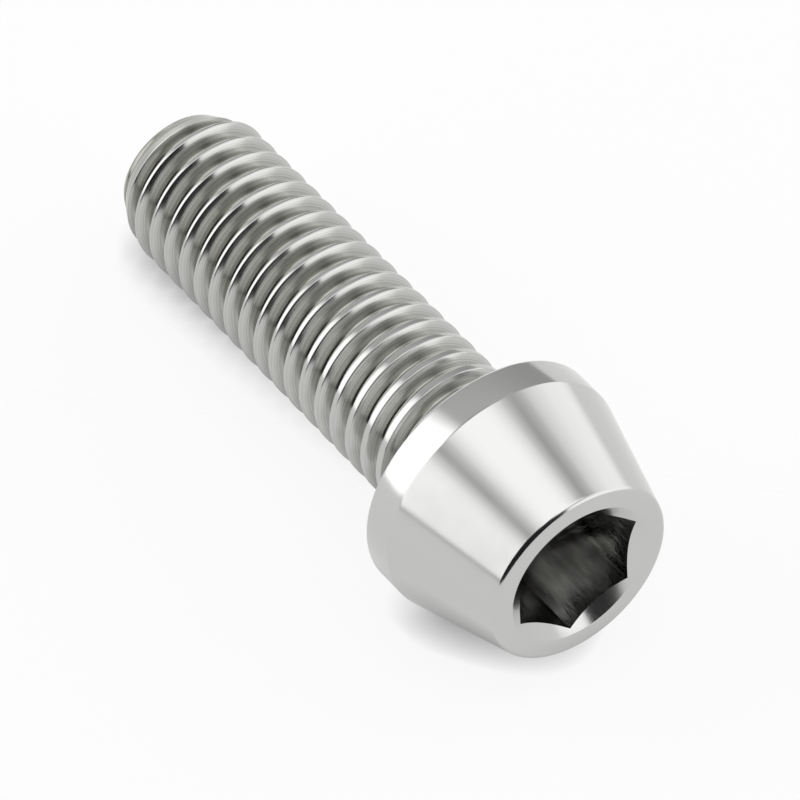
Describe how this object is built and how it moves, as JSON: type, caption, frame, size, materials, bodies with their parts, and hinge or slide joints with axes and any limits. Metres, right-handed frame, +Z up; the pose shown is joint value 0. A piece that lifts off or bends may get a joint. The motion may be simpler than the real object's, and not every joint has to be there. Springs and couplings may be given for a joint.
{
  "type": "socket head cap screw",
  "caption": "Fully threaded cap screw with a tapered round head, a countersunk hex socket and a chamfered tip, lying on its side.",
  "frame": {"origin": "on the surface that the screw lies on, under the middle of its length and width", "axes": "+Z up from that surface, +X along the screw from its tip to its head, level with the surface"},
  "size_m": [0.0334, 0.0128, 0.013],
  "materials": {
    "steel": "fine turned, bright"
  },
  "bodies": {
    "root": {"cap_screw": "steel"}
  },
  "joints": []
}
